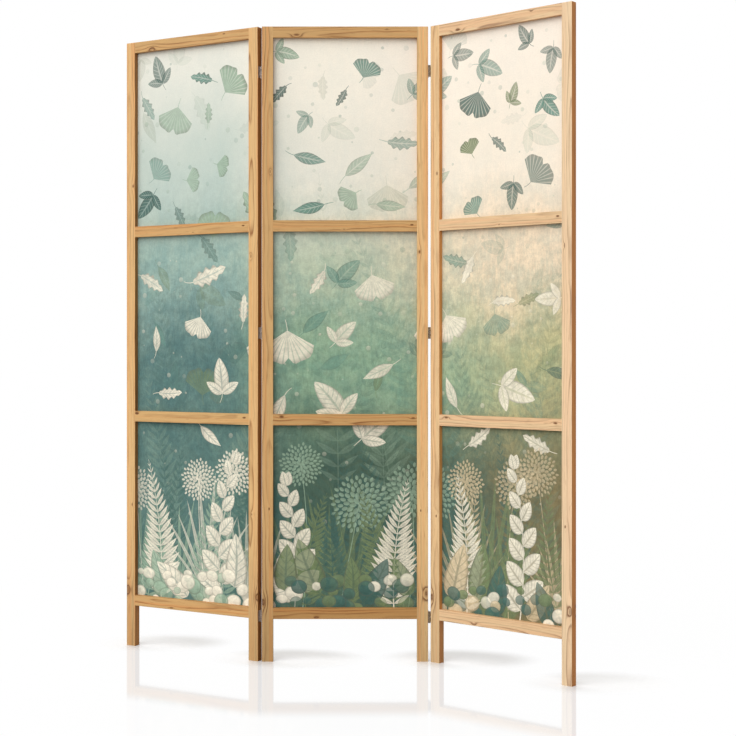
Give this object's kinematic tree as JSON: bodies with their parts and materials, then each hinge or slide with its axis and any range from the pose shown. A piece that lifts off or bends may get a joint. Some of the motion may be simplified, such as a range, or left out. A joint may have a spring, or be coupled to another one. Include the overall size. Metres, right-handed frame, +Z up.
{
  "type": "folding screen",
  "caption": "Folding room screen of pine frames with recessed printed sheets, hinged edge to edge to stand in a zigzag and fold flat.",
  "frame": {"origin": "on the floor, in the middle of the standing screen's footprint", "axes": "+Z up, the printed fronts look towards -Y, and +X is to the right seen from the front"},
  "size_m": [1.2137, 0.5358, 1.72],
  "materials": {
    "pine": "satin clear varnish over straight-grained pine",
    "printed_sheet": "matt woven canvas with a printed leaf design",
    "hinge_steel": "nickel plated",
    "brad_steel": "bright wire",
    "beech": "raw turned beech"
  },
  "bodies": {
    "left_panel": {"left_panel_left_stile": "pine", "left_panel_right_stile": "pine", "left_panel_top_rail": "pine", "left_panel_upper_muntin": "pine", "left_panel_lower_muntin": "pine", "left_panel_bottom_rail": "pine", "left_panel_printed_sheet": "printed_sheet", "left_panel_side_beads": "pine", "left_panel_cross_beads": "pine", "left_panel_bead_brads": "brad_steel", "left_panel_dowels": "beech", "left_hinge_top_outer_leaf": "hinge_steel", "left_hinge_middle_outer_leaf": "hinge_steel", "left_hinge_bottom_outer_leaf": "hinge_steel", "left_hinge_outer_screws": "hinge_steel"},
    "centre_panel": {"centre_panel_left_stile": "pine", "centre_panel_right_stile": "pine", "centre_panel_top_rail": "pine", "centre_panel_upper_muntin": "pine", "centre_panel_lower_muntin": "pine", "centre_panel_bottom_rail": "pine", "centre_panel_printed_sheet": "printed_sheet", "centre_panel_side_beads": "pine", "centre_panel_cross_beads": "pine", "centre_panel_bead_brads": "brad_steel", "centre_panel_dowels": "beech", "left_hinge_top_inner_leaf": "hinge_steel", "left_hinge_top_pin": "hinge_steel", "left_hinge_middle_inner_leaf": "hinge_steel", "left_hinge_middle_pin": "hinge_steel", "left_hinge_bottom_inner_leaf": "hinge_steel", "left_hinge_bottom_pin": "hinge_steel", "left_hinge_inner_screws": "hinge_steel", "right_hinge_top_inner_leaf": "hinge_steel", "right_hinge_top_pin": "hinge_steel", "right_hinge_middle_inner_leaf": "hinge_steel", "right_hinge_middle_pin": "hinge_steel", "right_hinge_bottom_inner_leaf": "hinge_steel", "right_hinge_bottom_pin": "hinge_steel", "right_hinge_inner_screws": "hinge_steel"},
    "right_panel": {"right_panel_left_stile": "pine", "right_panel_right_stile": "pine", "right_panel_top_rail": "pine", "right_panel_upper_muntin": "pine", "right_panel_lower_muntin": "pine", "right_panel_bottom_rail": "pine", "right_panel_printed_sheet": "printed_sheet", "right_panel_side_beads": "pine", "right_panel_cross_beads": "pine", "right_panel_bead_brads": "brad_steel", "right_panel_dowels": "beech", "right_hinge_top_outer_leaf": "hinge_steel", "right_hinge_middle_outer_leaf": "hinge_steel", "right_hinge_bottom_outer_leaf": "hinge_steel", "right_hinge_outer_screws": "hinge_steel"}
  },
  "joints": [
    {"name": "left_panel_fold", "type": "hinge", "parent": "centre_panel", "child": "left_panel", "pos_m": [-0.20466, 0.04781, 0], "axis": [0, 0, -1], "range_deg": [-29.5, 150.5]},
    {"name": "right_panel_fold", "type": "hinge", "parent": "centre_panel", "child": "right_panel", "pos_m": [0.24879, 0.02481, 0], "axis": [0, 0, -1], "range_deg": [-40.5, 139.5]}
  ]
}
